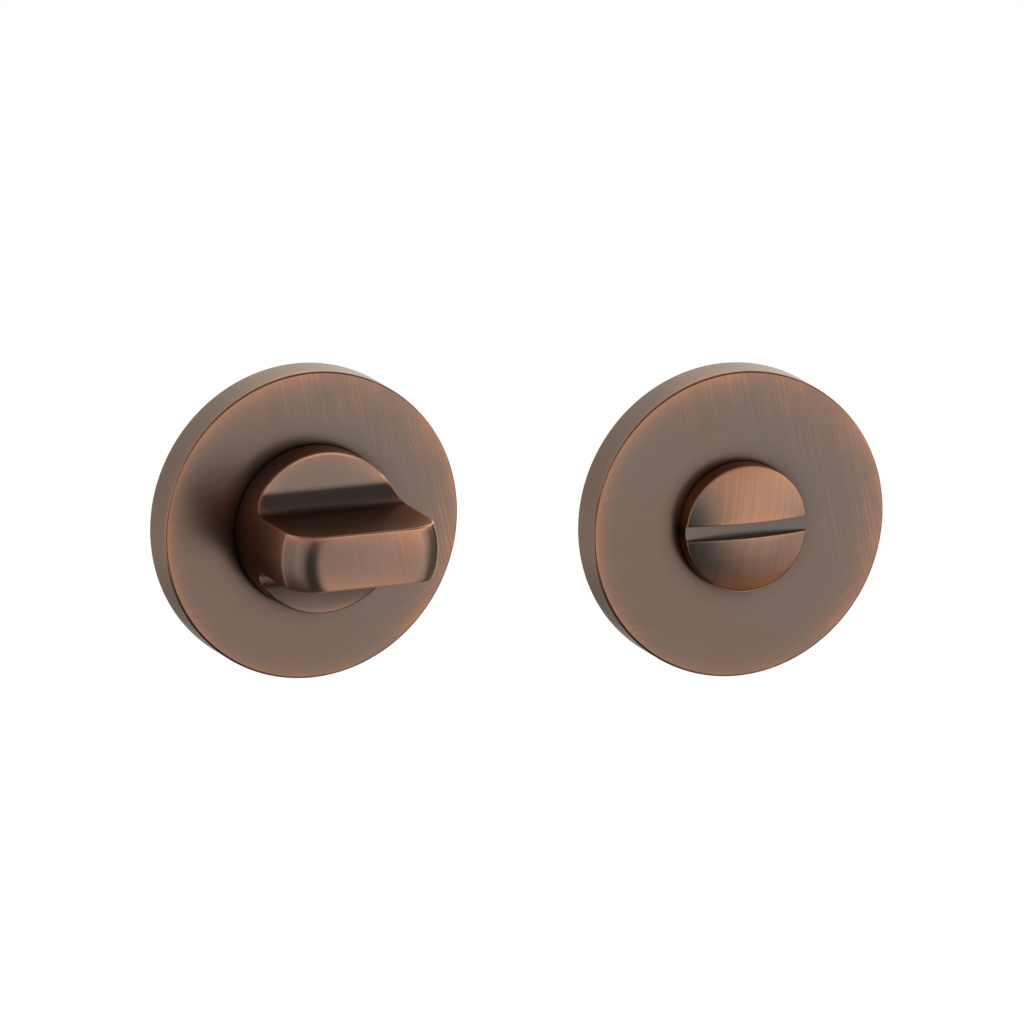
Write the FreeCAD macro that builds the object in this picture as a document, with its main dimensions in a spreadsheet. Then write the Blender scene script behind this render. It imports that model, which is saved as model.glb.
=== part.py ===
import FreeCAD, Part
import math
import os
import Sketcher
from FreeCAD import Placement, Rotation, Vector

# A bathroom lock set of two round half sets for the two faces of a door: a thumb turn for the
# inside, and a slotted disc that a coin turns from outside in an emergency. They stand side by
# side, as they come out of the box, with their backs in one plane, y = 0. Millimetres, +Z up,
# fronts towards -Y, origin in the middle of the thumb turn's back.
#
# Each piece is drawn in a frame of its own that starts at its rear end: x to the right, y up and
# z out of the door. A level is a height above the door's face.

SIZES = {
    # Where the release half stands, seen from the front
    "release_right": 76.3,
    "release_down": 7.0,
    # Fixings, whose spacing and room to the edge give the roses their radius
    "fixing_spacing": 38.0,
    "fixing_to_edge": 7.0,
    # Rose covers
    "rose_depth": 7.0,
    "cover_wall": 1.2,
    "cover_edge_chamfer": 0.25,
    "cover_corner_chamfer": 0.3,
    "cover_hole_chamfer": 0.15,
    "cover_hole_gap": 0.25,
    # Thumb turn
    "knob_radius": 13.75,
    "knob_height": 25.9,
    "knob_front_round": 5.2,
    "bar_thickness": 9.4,
    "shelf_height": 5.9,
    "cove_radius": 4.0,
    "scoop_edge_chamfer": 0.3,
    # Release disc, whose radius follows from the stop behind it
    "disc_edge_height": 3.5,
    "disc_dome": 1.5,
    "disc_edge_chamfer": 0.2,
    "coin_slot_width": 2.4,
    "coin_slot_floor": 3.0,
    # Necks, which turn in the base plates
    "neck_radius": 6.0,
    "neck_running_gap": 0.05,
    "neck_chamfer": 0.4,
    "end_play": 0.05,
    "turn_tail": 5.5,
    "release_tail": 1.0,
    "clip_groove_depth": 0.5,
    # Quarter turn stop, outside the bush's flange and inside the disc's edge
    "turn_angle": 90.0,
    "stop_inner_land": 0.4,
    "stop_outer_land": 0.8,
    "stop_pin_radius": 0.8,
    "stop_pin_in": 4.0,
    "stop_pin_out": 1.6,
    "stop_slot_depth": 1.5,
    "stop_gap": 0.1,
    "pin_chamfer": 0.2,
    # Spindle
    "spindle_side": 6.0,
    "spindle_behind": 44.0,
    "spindle_in_turn": 15.0,
    "spindle_chamfer": 0.6,
    "socket_in_release": 9.0,
    "socket_gap": 0.05,
    "release_socket_gap": 0.1,
    "socket_end_gap": 0.5,
    "spindle_pin_radius": 1.0,
    "spindle_pin_wall": 0.4,
    "spindle_pin_length": 11.4,
    "spindle_pin_behind": 3.0,
    "spindle_pin_closure": 320.0,
    # Base plates
    "cover_base_gap": 0.4,
    "base_front_gap": 0.2,
    "recess_gap": 0.6,
    "recess_depth": 2.4,
    "web_thickness": 2.0,
    "well_gap": 0.5,
    "base_wall": 1.3,
    "pocket_floor": 1.6,
    "rib_thickness": 1.2,
    "boss_radius": 4.8,
    "press_gap": 0.02,
    # Bolt holes with their spigots, and threaded posts
    "bolt_hole_radius": 2.2,
    "sink_radius": 4.2,
    "sink_depth": 2.0,
    "spigot_radius": 4.0,
    "spigot_length": 3.0,
    "post_radius": 3.0,
    "post_length": 8.0,
    "post_head_radius": 4.1,
    "post_head_thickness": 2.0,
    "post_thread_radius": 1.65,
    "post_thread_depth": 10.0,
    "post_gap": 0.1,
    # Bushes, washers and circlips
    "bush_wall": 1.2,
    "bush_flange_width": 0.65,
    "bush_flange_thickness": 0.5,
    "washer_bore_gap": 0.2,
    "washer_width": 3.4,
    "washer_thickness": 0.4,
    "spring_rise": 0.4,
    "clip_thickness": 1.0,
    "clip_width": 1.9,
    "clip_side_gap": 0.05,
    "clip_closure": 310.0,
    "clip_lug_out": 1.5,
    "clip_lug_radius": 1.25,
    "clip_lug_hole": 0.6,
    "clip_lug_angle": 146.0,
    # Snap rings that hold the covers on
    "ring_side": 1.0,
    "ring_level": 3.5,
    "ring_proud": 0.7,
    "ring_groove_gap": 0.05,
    "ring_closure": 340.0,
}
RIBS = 8
FIXINGS = 2
HEAD_SIDES = 6
FULL_TURN = 360
CLEAR = 1.0


class Dim:
    """A length or an angle that is both a number and the formula of the sheet's cells behind it."""

    def __init__(self, text, number):
        self.text = text
        self.number = number

    def __add__(self, other):
        other = dim(other)
        return Dim(f"({self.text} + {other.text})", self.number + other.number)

    def __sub__(self, other):
        other = dim(other)
        return Dim(f"({self.text} - {other.text})", self.number - other.number)

    def __mul__(self, other):
        other = dim(other)
        return Dim(f"({self.text} * {other.text})", self.number * other.number)

    def __truediv__(self, other):
        other = dim(other)
        return Dim(f"({self.text} / {other.text})", self.number / other.number)

    def __neg__(self):
        return Dim(f"(0 - {self.text})", -self.number)


def dim(value):
    return value if isinstance(value, Dim) else Dim(str(value), value)


def sine(angle):
    return Dim(f"sin({angle.text})", math.sin(math.radians(angle.number)))


def cosine(angle):
    return Dim(f"cos({angle.text})", math.cos(math.radians(angle.number)))


class Sizes:
    """The sheet of driving sizes, one cell each, read as attributes."""

    def __init__(self, doc):
        sheet = doc.addObject("Spreadsheet::Sheet", "sizes")
        for row, (name, number) in enumerate(SIZES.items(), start=1):
            sheet.set(f"A{row}", name)
            sheet.set(f"B{row}", str(number))
            sheet.setAlias(f"B{row}", name)
            setattr(self, name, Dim(f"sizes.{name}", number))
        doc.recompute()


def bind(thing, name, value):
    thing.setExpression(name, dim(value).text)


# Bodies, sketches and features

ALONG_AXIS = Rotation(Vector(1, 0, 0), 90)
ACROSS = Rotation(Vector(0, 1, 0), 90)


class Half:
    """One half set: the prefix of its pieces' names and the middle of its back."""

    def __init__(self, prefix, right, up):
        self.prefix = prefix
        self.right = dim(right)
        self.up = dim(up)

    def body(self, doc, name, level, right=0, up=0, rotation=ALONG_AXIS):
        body = doc.addObject("PartDesign::Body", f"{self.prefix}_{name}")
        body.Label = f"{self.prefix}_{name}"
        body.Placement = Placement(Vector(0, 0, 0), rotation)
        bind(body, "Placement.Base.x", self.right + right)
        bind(body, "Placement.Base.y", -dim(level))
        bind(body, "Placement.Base.z", self.up + up)
        doc.recompute()
        return body


def plane(body, role):
    return next(item for item in body.Origin.OriginFeatures if item.Role == role)


def attach(thing, body, role):
    thing.AttachmentSupport = [(plane(body, role), "")]
    thing.MapMode = "FlatFace"


def sketch(body, name, role):
    drawing = body.newObject("Sketcher::SketchObject", f"{name}_sketch")
    attach(drawing, body, role)
    return drawing


def outline(drawing, corners, arcs=()):
    """Close an outline through the corners, each held by its two coordinates. The sides whose
    numbers are in arcs are arcs about a point on the upright axis."""
    first = drawing.GeometryCount
    count = len(corners)
    points = [Vector(x.number, y.number, 0) for x, y in corners]
    for side in range(count):
        start, end = points[side], points[(side + 1) % count]
        if side in arcs:
            drawing.addGeometry(dome_arc(start, end), False)
        else:
            drawing.addGeometry(Part.LineSegment(start, end), False)
    for side in range(count):
        # An arc runs from its right end to the axis, as it is drawn, so its ends keep this order
        drawing.addConstraint(
            Sketcher.Constraint("Coincident", first + side, 2, first + (side + 1) % count, 1)
        )
        if side in arcs:
            drawing.addConstraint(Sketcher.Constraint("PointOnObject", first + side, 3, -2))
    for corner, coordinates in enumerate(corners):
        for kind, value in zip(("DistanceX", "DistanceY"), coordinates):
            number = drawing.addConstraint(
                Sketcher.Constraint(kind, -1, 1, first + corner, 1, value.number)
            )
            drawing.renameConstraint(number, f"{kind[-1]}{first + corner}")
            bind(drawing, f"Constraints.{kind[-1]}{first + corner}", value)


def dome_arc(rim, crown):
    """The arc from the rim up to the crown, which lies on the axis the arc is centred on."""
    rise = crown.y - rim.y
    radius = (rim.x**2 + rise**2) / (2 * rise)
    circle = Part.Circle(Vector(0, crown.y - radius, 0), Vector(0, 0, 1), radius)
    return Part.ArcOfCircle(circle, math.atan2(radius - rise, rim.x), math.pi / 2)


def section(corners):
    return [(dim(x), dim(y)) for x, y in corners]


def turned(body, name, corners, arcs=(), angle=FULL_TURN, role="XZ_Plane", cut=False):
    """A half section turned about the piece's axis, or cut away from it."""
    drawing = sketch(body, name, role)
    outline(drawing, section(corners), arcs)
    feature = body.newObject(f"PartDesign::{'Groove' if cut else 'Revolution'}", name)
    feature.Profile = drawing
    feature.ReferenceAxis = (drawing, ["V_Axis"])
    bind(feature, "Angle", angle)
    feature.Midplane = True
    body.Document.recompute()
    return feature


def box(low, high):
    (left, bottom), (right, top) = low, high
    return [(left, bottom), (right, bottom), (right, top), (left, top)]


def primitive(body, kind, name, sizes, at=(0, 0, 0), role="XY_Plane"):
    """A cylinder, cone, box or prism, added or cut, that stands at a point of one of the planes."""
    feature = body.newObject(f"PartDesign::{kind}", name)
    attach(feature, body, role)
    for key, value in sizes.items():
        bind(feature, key, value)
    for axis, value in zip("xyz", at):
        bind(feature, f"AttachmentOffset.Base.{axis}", value)
    body.Document.recompute()
    return feature


def edges(shape, wanted):
    real = [(n, edge) for n, edge in enumerate(shape.Edges, start=1) if not edge.Degenerated]
    return [f"Edge{n}" for n, edge in real if wanted(edge)]


def soften(body, kind, name, size, wanted):
    """A fillet or a chamfer on those edges of the piece so far that wanted picks."""
    base = body.Tip
    feature = body.newObject(f"PartDesign::{kind}", name)
    feature.Base = (base, edges(base.Shape, wanted))
    bind(feature, "Radius" if kind == "Fillet" else "Size", size)
    body.Document.recompute()
    return feature


SAME = 1e-4


def near(a, b):
    return abs(a - b) < SAME


def at_level(edge, level):
    extent = edge.BoundBox
    return near(extent.ZMin, dim(level).number) and near(extent.ZMax, dim(level).number)


def rim(radius, level):
    """Picks the full circle of this radius about the piece's axis at this height in its frame."""

    def wanted(edge):
        return (
            isinstance(edge.Curve, Part.Circle)
            and near(edge.Curve.Radius, dim(radius).number)
            and at_level(edge, level)
            and near(edge.Curve.Center.x, 0)
            and near(edge.Curve.Center.y, 0)
        )

    return wanted


def repeat(body, name, original, count):
    """Spread copies of a feature evenly about the piece's axis."""
    pattern = body.newObject("PartDesign::PolarPattern", name)
    pattern.Originals = [original]
    pattern.Axis = (next(i for i in body.Origin.OriginFeatures if i.Role == "Z_Axis"), [""])
    pattern.Angle = FULL_TURN
    pattern.Occurrences = count
    body.Tip = pattern
    body.Document.recompute()
    return pattern


# Levels and radii that more than one piece shares


class Shared:
    def __init__(self, s):
        self.web_front = s.recess_depth + s.web_thickness
        self.head_back = self.web_front + s.bush_flange_thickness + s.end_play
        self.cover_inside = s.rose_depth - s.cover_wall
        self.base_front = self.cover_inside - s.base_front_gap
        self.fixing_offset = s.fixing_spacing / 2
        self.rose_radius = self.fixing_offset + s.fixing_to_edge
        self.base_radius = self.rose_radius - s.cover_wall - s.cover_base_gap
        self.groove_radius = s.neck_radius - s.clip_groove_depth
        self.clip_radius = self.groove_radius + s.clip_width
        self.lug_circle = self.groove_radius + s.clip_lug_out
        self.washer_radius = s.neck_radius + s.washer_width
        self.recess_radius = self.washer_radius + s.recess_gap
        self.bush_radius = s.neck_radius + s.neck_running_gap + s.bush_wall
        self.flange_radius = self.bush_radius + s.bush_flange_width
        self.stop_half_width = s.stop_pin_radius + s.stop_gap
        self.stop_circle = self.flange_radius + s.stop_inner_land + self.stop_half_width
        self.disc_radius = self.stop_circle + s.stop_pin_radius + s.stop_outer_land
        self.spring_height = s.washer_thickness + s.spring_rise
        self.washer_back = s.recess_depth - self.spring_height - s.washer_thickness
        self.clip_back = self.washer_back - s.end_play - s.clip_thickness
        self.ring_inner = self.base_radius + s.ring_proud - s.ring_side
        self.ring_outer = self.base_radius + s.ring_proud
        self.stop_level = self.head_back - s.stop_pin_out


# What a hand or a coin turns: a head in front of the rose on a neck that goes through it


def head_on_neck(half, doc, s, c, name, tail, head_radius, top, arcs=()):
    """The turned blank, with its head's rim at the height of top's first point."""
    body = half.body(doc, name, -tail)
    corners = [(0, 0), (s.neck_radius, 0), (s.neck_radius, tail + c.head_back)]
    corners += [(head_radius, tail + c.head_back)] + top
    turned(body, "blank", corners, arcs)
    soften(body, "Chamfer", "tail_edge", s.neck_chamfer, rim(s.neck_radius, 0))
    groove_back = tail + c.clip_back - s.clip_side_gap
    groove_front = groove_back + s.clip_thickness + s.clip_side_gap * 2
    outside = s.neck_radius + CLEAR
    groove = box((c.groove_radius, groove_back), (outside, groove_front))
    turned(body, "clip_groove", groove, cut=True)
    return body


def stop_place(s, c, side):
    """Where the stop pin stands at rest, half the travel to the left (-1) or right (1) of the top."""
    half_angle = s.turn_angle / 2
    return c.stop_circle * sine(half_angle) * side, c.stop_circle * cosine(half_angle)


def stop_hole(body, s, c, tail, side):
    across, up = stop_place(s, c, side)
    size = {"Radius": s.stop_pin_radius + s.press_gap, "Height": s.stop_pin_in}
    primitive(body, "SubtractiveCylinder", "stop_hole", size, (across, up, tail + c.head_back))


def square_socket(body, side, depth):
    size = {"Length": side, "Width": side, "Height": depth}
    primitive(body, "SubtractiveBox", "socket", size, (-side / 2, -side / 2, 0))


def thumb_turn(half, doc, s, c):
    """Turned round the axis, then scooped out above and below so that a flat bar is left."""
    tail = s.turn_tail
    front = tail + s.rose_depth + s.knob_height
    shelf = tail + s.rose_depth + s.shelf_height
    flank = s.bar_thickness / 2
    far = s.knob_radius + CLEAR
    top = [(s.knob_radius, front), (0, front)]
    body = head_on_neck(half, doc, s, c, "thumb_knob", tail, s.knob_radius, top)
    soften(body, "Fillet", "front_round", s.knob_front_round, rim(s.knob_radius, front))

    drawing = sketch(body, "scoops", "YZ_Plane")
    outline(drawing, section(box((flank, shelf), (far, front + CLEAR))))
    outline(drawing, section(box((-far, shelf), (-flank, front + CLEAR))))
    scoops = body.newObject("PartDesign::Pocket", "scoops")
    scoops.Profile = drawing
    scoops.Midplane = True
    bind(scoops, "Length", far * 2)
    doc.recompute()

    def along_bar(level):
        def wanted(edge):
            extent = edge.BoundBox
            on_flank = near(abs(extent.YMin), flank.number) and near(extent.YLength, 0)
            return on_flank and at_level(edge, level)

        return wanted

    soften(body, "Fillet", "coves", s.cove_radius, along_bar(shelf))
    soften(body, "Chamfer", "scoop_edges", s.scoop_edge_chamfer, along_bar(front))
    square_socket(body, s.spindle_side + s.socket_gap * 2, s.spindle_in_turn + s.socket_end_gap)
    stop_hole(body, s, c, tail, -1)
    size = {"Radius": s.spindle_pin_radius + s.press_gap, "Height": far * 2}
    pin_level = tail - s.spindle_pin_behind
    primitive(body, "SubtractiveCylinder", "pin_hole", size, (0, pin_level, -far), "YZ_Plane")
    return body


def release_disc(half, doc, s, c):
    """A low domed disc with a slot for a coin across it."""
    tail = s.release_tail
    edge_level = tail + s.rose_depth + s.disc_edge_height
    top = [(c.disc_radius, edge_level), (0, edge_level + s.disc_dome)]
    body = head_on_neck(half, doc, s, c, "coin_disc", tail, c.disc_radius, top, arcs=(4,))
    soften(body, "Chamfer", "dome_edge", s.disc_edge_chamfer, rim(c.disc_radius, edge_level))
    far = c.disc_radius + CLEAR
    floor = tail + s.rose_depth + s.coin_slot_floor
    slot = {"Length": far * 2, "Width": s.coin_slot_width, "Height": s.disc_dome + s.disc_edge_height}
    primitive(body, "SubtractiveBox", "coin_slot", slot, (-far, -s.coin_slot_width / 2, floor))
    square_socket(body, s.spindle_side + s.release_socket_gap * 2, s.socket_in_release)
    stop_hole(body, s, c, tail, 1)
    return body


def stop_pin(half, doc, s, c, side):
    across, up = stop_place(s, c, side)
    body = half.body(doc, "stop_pin", c.stop_level, across, up)
    length = s.stop_pin_in + s.stop_pin_out - s.end_play
    primitive(body, "AdditiveCylinder", "pin", {"Radius": s.stop_pin_radius, "Height": length})
    soften(body, "Chamfer", "ends", s.pin_chamfer, lambda edge: isinstance(edge.Curve, Part.Circle))
    return body


def spindle(half, doc, s, c):
    """The square bar that turns the lock in the door, pinned in the thumb turn's tail."""
    body = half.body(doc, "spindle", -s.spindle_behind)
    side = s.spindle_side
    length = s.spindle_behind - s.turn_tail + s.spindle_in_turn
    size = {"Length": side, "Width": side, "Height": length}
    primitive(body, "AdditiveBox", "bar", size, (-side / 2, -side / 2, 0))
    soften(body, "Chamfer", "ends", s.spindle_chamfer, lambda edge: near(edge.BoundBox.ZLength, 0))
    hole = {"Radius": s.spindle_pin_radius + s.press_gap, "Height": side + CLEAR * 2}
    place = (0, s.spindle_behind - s.spindle_pin_behind, -side / 2 - CLEAR)
    primitive(body, "SubtractiveCylinder", "pin_hole", hole, place, "YZ_Plane")
    return body


def spindle_pin(half, doc, s, c):
    """A slotted spring pin, rolled from sheet, across the tail and the spindle."""
    start = -s.spindle_pin_length / 2
    body = half.body(doc, "spindle_pin", -s.spindle_pin_behind, start, 0, ACROSS)
    inner = s.spindle_pin_radius - s.spindle_pin_wall
    tube = box((inner, 0), (s.spindle_pin_radius, s.spindle_pin_length))
    turned(body, "tube", tube, angle=s.spindle_pin_closure)
    return body


# What stays on the door: the base plate, its bush and washers, and the cover


def rose_cover(half, doc, s, c, head_radius):
    """A shallow drawn cup with a hole that passes over the head."""
    body = half.body(doc, "rose_cover", 0)
    hole = head_radius + s.cover_hole_gap
    inside = c.rose_radius - s.cover_wall
    wall = [
        (inside, 0),
        (c.rose_radius, 0),
        (c.rose_radius, s.rose_depth),
        (hole, s.rose_depth),
        (hole, c.cover_inside),
        (inside, c.cover_inside),
    ]
    turned(body, "cup", wall)
    soften(body, "Chamfer", "front_edge", s.cover_edge_chamfer, rim(c.rose_radius, s.rose_depth))
    soften(body, "Chamfer", "corner", s.cover_corner_chamfer, rim(inside, c.cover_inside))
    soften(body, "Chamfer", "hole_edge", s.cover_hole_chamfer, rim(hole, s.rose_depth))
    low = s.ring_level - s.ring_side / 2 - s.ring_groove_gap
    high = s.ring_level + s.ring_side / 2 + s.ring_groove_gap
    groove = box((inside - CLEAR, low), (c.ring_outer + s.ring_groove_gap, high))
    turned(body, "ring_groove", groove, cut=True)
    return body


def base_plate(half, doc, s, c, head_radius):
    """A moulded disc with a well for the head, a recess behind for the clip, pockets and ribs."""
    body = half.body(doc, "base_plate", 0)
    bush_hole = c.bush_radius + s.press_gap
    well = head_radius + s.well_gap
    plate = [
        (bush_hole, s.recess_depth),
        (c.recess_radius, s.recess_depth),
        (c.recess_radius, 0),
        (c.base_radius, 0),
        (c.base_radius, c.base_front),
        (well, c.base_front),
        (well, c.web_front),
        (bush_hole, c.web_front),
    ]
    turned(body, "plate", plate)

    over = c.base_front + CLEAR
    pocket_in = well + s.base_wall
    pocket_out = c.ring_inner - s.ring_groove_gap - s.base_wall
    pocket = box((pocket_in, s.pocket_floor), (pocket_out, over))
    turned(body, "pockets", pocket, cut=True)
    rib_size = {
        "Length": pocket_out - pocket_in + s.base_wall,
        "Width": s.rib_thickness,
        "Height": c.base_front,
    }
    rib_place = (pocket_in - s.base_wall / 2, -s.rib_thickness / 2, 0)
    rib = primitive(body, "AdditiveBox", "rib", rib_size, rib_place)
    repeat(body, "ribs", rib, RIBS)
    boss_size = {"Radius": s.boss_radius, "Height": c.base_front}
    boss = primitive(body, "AdditiveCylinder", "boss", boss_size, (c.fixing_offset, 0, 0))
    repeat(body, "bosses", boss, FIXINGS)

    low = s.ring_level - s.ring_side / 2 - s.ring_groove_gap
    high = s.ring_level + s.ring_side / 2 + s.ring_groove_gap
    groove = box((c.ring_inner - s.ring_groove_gap, low), (c.base_radius + CLEAR, high))
    turned(body, "ring_groove", groove, cut=True)
    stop_slot(body, s, c)
    return body


def stop_slot(body, s, c):
    """A curved slot over the top of the hub, with round ends, in which the stop pin travels."""
    floor = c.web_front - s.stop_slot_depth
    over = c.web_front + CLEAR
    half_width = c.stop_half_width
    slot = box((c.stop_circle - half_width, floor), (c.stop_circle + half_width, over))
    turned(body, "stop_slot", slot, angle=s.turn_angle, role="YZ_Plane", cut=True)
    size = {"Radius": half_width, "Height": s.stop_slot_depth + CLEAR}
    for side in (-1, 1):
        across, up = stop_place(s, c, side)
        primitive(body, "SubtractiveCylinder", "stop_slot_end", size, (across, up, floor))


def bolt_holes(body, s, c):
    """Countersunk holes on the fixing line, each through a spigot that stands into the door."""
    spigot_size = {"Radius": s.spigot_radius, "Height": s.spigot_length + s.pocket_floor}
    place = (c.fixing_offset, 0, -s.spigot_length)
    spigot = primitive(body, "AdditiveCylinder", "spigot", spigot_size, place)
    repeat(body, "spigots", spigot, FIXINGS)
    hole_size = {"Radius": s.bolt_hole_radius, "Height": s.spigot_length + c.base_front + CLEAR * 2}
    place = (c.fixing_offset, 0, -s.spigot_length - CLEAR)
    hole = primitive(body, "SubtractiveCylinder", "bolt_hole", hole_size, place)
    repeat(body, "bolt_holes", hole, FIXINGS)
    sink_size = {"Radius1": s.bolt_hole_radius, "Radius2": s.sink_radius, "Height": s.sink_depth}
    place = (c.fixing_offset, 0, c.base_front - s.sink_depth)
    sink = primitive(body, "SubtractiveCone", "sink", sink_size, place)
    repeat(body, "sinks", sink, FIXINGS)


def post_holes(body, s, c):
    """Stepped holes on the fixing line for the threaded posts, with a six-sided seat in front."""
    hole_size = {"Radius": s.post_radius + s.press_gap, "Height": c.base_front + CLEAR * 2}
    place = (c.fixing_offset, 0, dim(-CLEAR))
    hole = primitive(body, "SubtractiveCylinder", "post_hole", hole_size, place)
    repeat(body, "post_holes", hole, FIXINGS)
    seat_radius = s.post_head_radius + s.post_gap
    seat_size = {"Circumradius": seat_radius, "Height": s.post_head_thickness + CLEAR}
    seat_place = (c.fixing_offset, 0, c.base_front - s.post_head_thickness)
    seat = primitive(body, "SubtractivePrism", "post_seat", seat_size, seat_place)
    seat.Polygon = HEAD_SIDES
    repeat(body, "post_seats", seat, FIXINGS)


def threaded_post(half, doc, s, c, name, side):
    """A bolt from the other half screws into this post, through the door."""
    body = half.body(doc, name, -s.post_length, c.fixing_offset * side)
    shank = s.post_length + c.base_front - s.post_head_thickness
    tube = box((s.post_thread_radius, 0), (s.post_radius, shank))
    turned(body, "shank", tube)
    soften(body, "Chamfer", "end", s.pin_chamfer, rim(s.post_radius, 0))
    size = {"Circumradius": s.post_head_radius, "Height": s.post_head_thickness}
    head = primitive(body, "AdditivePrism", "head", size, (0, 0, shank))
    head.Polygon = HEAD_SIDES
    closed = {"Radius": s.post_radius - s.pin_chamfer, "Height": shank - s.post_thread_depth}
    primitive(body, "AdditiveCylinder", "closed_end", closed, (0, 0, s.post_thread_depth))
    return body


def bush(half, doc, s, c):
    """A flanged bush in the base plate, which the neck runs in and the head bears on."""
    body = half.body(doc, "bush", s.recess_depth)
    bore = s.neck_radius + s.neck_running_gap
    thickness = s.web_thickness + s.bush_flange_thickness
    sleeve = [
        (bore, 0),
        (c.bush_radius, 0),
        (c.bush_radius, s.web_thickness),
        (c.flange_radius, s.web_thickness),
        (c.flange_radius, thickness),
        (bore, thickness),
    ]
    turned(body, "sleeve", sleeve)
    return body


def spring_washer(half, doc, s, c):
    """A coned washer that takes up the play, its wide side against the base plate."""
    body = half.body(doc, "spring_washer", s.recess_depth - c.spring_height)
    bore = s.neck_radius + s.washer_bore_gap
    cone = [
        (bore, 0),
        (c.washer_radius, s.spring_rise),
        (c.washer_radius, c.spring_height),
        (bore, s.washer_thickness),
    ]
    turned(body, "cone", cone)
    return body


def plain_washer(half, doc, s, c):
    body = half.body(doc, "plain_washer", c.washer_back)
    bore = s.neck_radius + s.washer_bore_gap
    turned(body, "disc", box((bore, 0), (c.washer_radius, s.washer_thickness)))
    return body


def circlip(half, doc, s, c):
    """An open spring clip in the neck's groove, with an eye at each end for the pliers."""
    body = half.body(doc, "circlip", c.clip_back)
    ring = box((c.groove_radius + s.press_gap, 0), (c.clip_radius, s.clip_thickness))
    turned(body, "ring", ring, angle=s.clip_closure, role="YZ_Plane")
    for kind, name, radius in (
        ("AdditiveCylinder", "lug", s.clip_lug_radius),
        ("SubtractiveCylinder", "eye", s.clip_lug_hole),
    ):
        for side in (-1, 1):
            across = c.lug_circle * sine(s.clip_lug_angle) * side
            up = c.lug_circle * cosine(s.clip_lug_angle)
            size = {"Radius": radius, "Height": s.clip_thickness}
            primitive(body, kind, name, size, (across, up, 0))
    return body


def cover_ring(half, doc, s, c):
    """An open ring of square wire that snaps the cover onto the base plate."""
    body = half.body(doc, "cover_ring", s.ring_level - s.ring_side / 2)
    wire = box((c.ring_inner, 0), (c.ring_outer, s.ring_side))
    turned(body, "wire", wire, angle=s.ring_closure, role="YZ_Plane")
    return body


def running_gear(half, doc, s, c, head_radius, side):
    """The pieces that both halves have, from the cover back to the circlip."""
    return [
        stop_pin(half, doc, s, c, side),
        rose_cover(half, doc, s, c, head_radius),
        bush(half, doc, s, c),
        spring_washer(half, doc, s, c),
        plain_washer(half, doc, s, c),
        circlip(half, doc, s, c),
        cover_ring(half, doc, s, c),
    ]


def build(doc):
    s = Sizes(doc)
    c = Shared(s)
    inside = Half("turn", 0, 0)
    outside = Half("release", s.release_right, -s.release_down)

    pieces = [thumb_turn(inside, doc, s, c)]
    pieces += running_gear(inside, doc, s, c, s.knob_radius, -1)
    pieces += [spindle(inside, doc, s, c), spindle_pin(inside, doc, s, c)]
    turn_base = base_plate(inside, doc, s, c, s.knob_radius)
    bolt_holes(turn_base, s, c)

    pieces += [release_disc(outside, doc, s, c)]
    pieces += running_gear(outside, doc, s, c, c.disc_radius, 1)
    release_base = base_plate(outside, doc, s, c, c.disc_radius)
    post_holes(release_base, s, c)
    pieces += [threaded_post(outside, doc, s, c, "post_left", -1)]
    pieces += [threaded_post(outside, doc, s, c, "post_right", 1)]
    return pieces + [turn_base, release_base]


def check(doc, pieces):
    doc.recompute()
    for thing in doc.Objects:
        if {"Invalid", "Error"} & set(thing.State):
            raise ValueError(f"{thing.Label} failed: {thing.State}")
    for piece in pieces:
        shape = piece.Shape
        if shape.isNull() or not shape.isValid() or len(shape.Solids) != 1:
            raise ValueError(f"{piece.Label} is not one valid solid")


doc = FreeCAD.newDocument("bathroom_lock")
pieces = build(doc)
check(doc, pieces)
os.makedirs("parts", exist_ok=True)
for piece in pieces:
    piece.Shape.exportStep(f"parts/{piece.Label}.step")
    print(f"{piece.Label}: {piece.Shape.Volume:.1f} mm3")
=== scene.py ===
import math

import bmesh
import bpy
from mathutils import Matrix, Vector


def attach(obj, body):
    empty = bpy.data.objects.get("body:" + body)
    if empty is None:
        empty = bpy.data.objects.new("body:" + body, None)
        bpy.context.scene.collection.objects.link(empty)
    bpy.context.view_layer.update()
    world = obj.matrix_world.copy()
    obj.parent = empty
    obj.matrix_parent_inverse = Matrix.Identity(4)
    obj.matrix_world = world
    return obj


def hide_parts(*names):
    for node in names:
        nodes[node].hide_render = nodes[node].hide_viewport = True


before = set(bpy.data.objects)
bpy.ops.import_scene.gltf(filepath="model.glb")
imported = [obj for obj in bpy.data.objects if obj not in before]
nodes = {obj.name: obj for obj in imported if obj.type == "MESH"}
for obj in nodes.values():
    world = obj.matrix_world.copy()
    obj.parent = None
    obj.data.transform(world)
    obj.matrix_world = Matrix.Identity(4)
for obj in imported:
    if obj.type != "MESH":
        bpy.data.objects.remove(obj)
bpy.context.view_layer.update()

# The two halves stand side by side with their backs in the plane y = 0 and their fronts towards
# -Y. A level is a height in front of that plane, in millimetres, as on the drawing of the lock.

MM = 0.001
TURN_MIDDLE = (0.0, 0.0)
RELEASE_MIDDLE = (76.3, -7.0)


# Rose covers. Each is a shallow cup drawn from brass sheet, 52 mm across and 7 mm deep, with a
# small radius round its front edge and a hole for the head. It is plated with copper, blackened,
# and brushed by hand, and a wire ring snaps it onto the base plate.

ROSE_RADIUS = 26.0
ROSE_DEPTH = 7.0
COVER_WALL = 1.2
COVER_HOLE_GAP = 0.05
KNOB_RADIUS = 13.75
DISC_RADIUS = 10.8


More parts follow.
